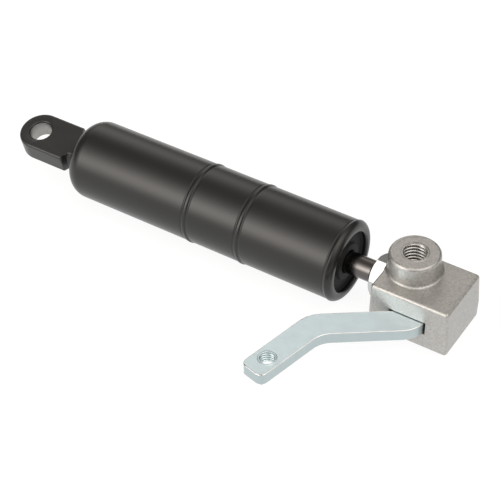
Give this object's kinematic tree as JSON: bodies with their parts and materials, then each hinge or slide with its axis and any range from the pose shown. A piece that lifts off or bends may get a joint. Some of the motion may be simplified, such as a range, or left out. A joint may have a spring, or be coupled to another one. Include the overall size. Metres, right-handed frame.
{
  "type": "lift support",
  "caption": "Lockable gas-spring lift support: black cylinder with a mounting eye, short dark rod, hex nut, and a cast head with threaded boss and cranked release lever.",
  "frame": {"origin": "centre of the mounting eye's bore", "axes": "+X along the spring from the eye to the release head, +Z along the head's threaded boss, so that the lever comes out towards -Y"},
  "size_m": [0.2349, 0.097, 0.0398],
  "materials": {
    "tube_black": "satin black paint, baked on",
    "eye_black": "satin black paint on a forging, bare in the bore",
    "disc_black": "matt black",
    "rod_dark": "dark nitrided steel, fine ground",
    "zinc_bright": "bright zinc plate",
    "zinc_blue": "bluish zinc plate",
    "cast_grey": "grainy die casting, bare",
    "spring_steel": "oiled spring steel",
    "turned_steel": "turned steel",
    "turned_aluminium": "turned aluminium",
    "bearing_bronze": "bronze bearing sleeve",
    "valve_brass": "turned brass",
    "seal_rubber": "black nitrile rubber",
    "ring_plastic": "filled bearing plastic"
  },
  "bodies": {
    "cylinder": {"pressure_tube": "tube_black", "mounting_eye": "eye_black", "guide_snap_ring": "spring_steel", "separator_stop_ring": "spring_steel", "piston_stop_ring": "spring_steel", "rod_guide": "turned_aluminium", "guide_bearing": "bearing_bronze", "guide_o_ring": "seal_rubber", "rod_seal": "seal_rubber", "seal_washer": "turned_steel", "end_disc": "disc_black"},
    "separator": {"separating_piston": "turned_aluminium", "separator_outer_o_ring": "seal_rubber", "separator_inner_o_ring": "seal_rubber"},
    "piston_seal": {"piston_ring": "ring_plastic"},
    "rod": {"piston_rod": "rod_dark", "piston": "turned_aluminium", "valve_o_ring_inner": "seal_rubber", "valve_spacer": "valve_brass", "valve_o_ring_outer": "seal_rubber", "valve_washer": "turned_steel", "lock_nut": "zinc_bright", "release_head": "cast_grey", "lever_pivot_pin": "turned_steel"},
    "release_pin": {"release_pin": "turned_steel", "valve_tappet": "turned_steel"},
    "lever": {"release_lever": "zinc_blue"}
  },
  "joints": [
    {"name": "rod_slide", "type": "slide", "parent": "cylinder", "child": "piston_seal", "axis": [1, 0, 0], "range_m": [0, 0.0415]},
    {"name": "rod_turn", "type": "hinge", "parent": "piston_seal", "child": "rod", "pos_m": [0.1, 0, 0], "axis": [1, 0, 0], "continuous": true},
    {"name": "separator_slide", "type": "slide", "parent": "cylinder", "child": "separator", "axis": [1, 0, 0], "range_m": [-0.0044, 0]},
    {"name": "lever_pivot", "type": "hinge", "parent": "rod", "child": "lever", "pos_m": [0.2056, -0.0134, 0], "axis": [0, 0, 1], "range_deg": [0, 8.5], "stiffness_Nm_per_rad": 3, "springref_deg": -17.19},
    {"name": "release_pin_slide", "type": "slide", "parent": "rod", "child": "release_pin", "axis": [1, 0, 0], "range_m": [-0.0022, 0]}
  ],
  "couplings": [
    {"joint": "separator_slide", "follows": "rod_slide", "ratio": -0.1011},
    {"joint": "release_pin_slide", "follows": "lever_pivot", "m_per_rad": -0.01385}
  ]
}
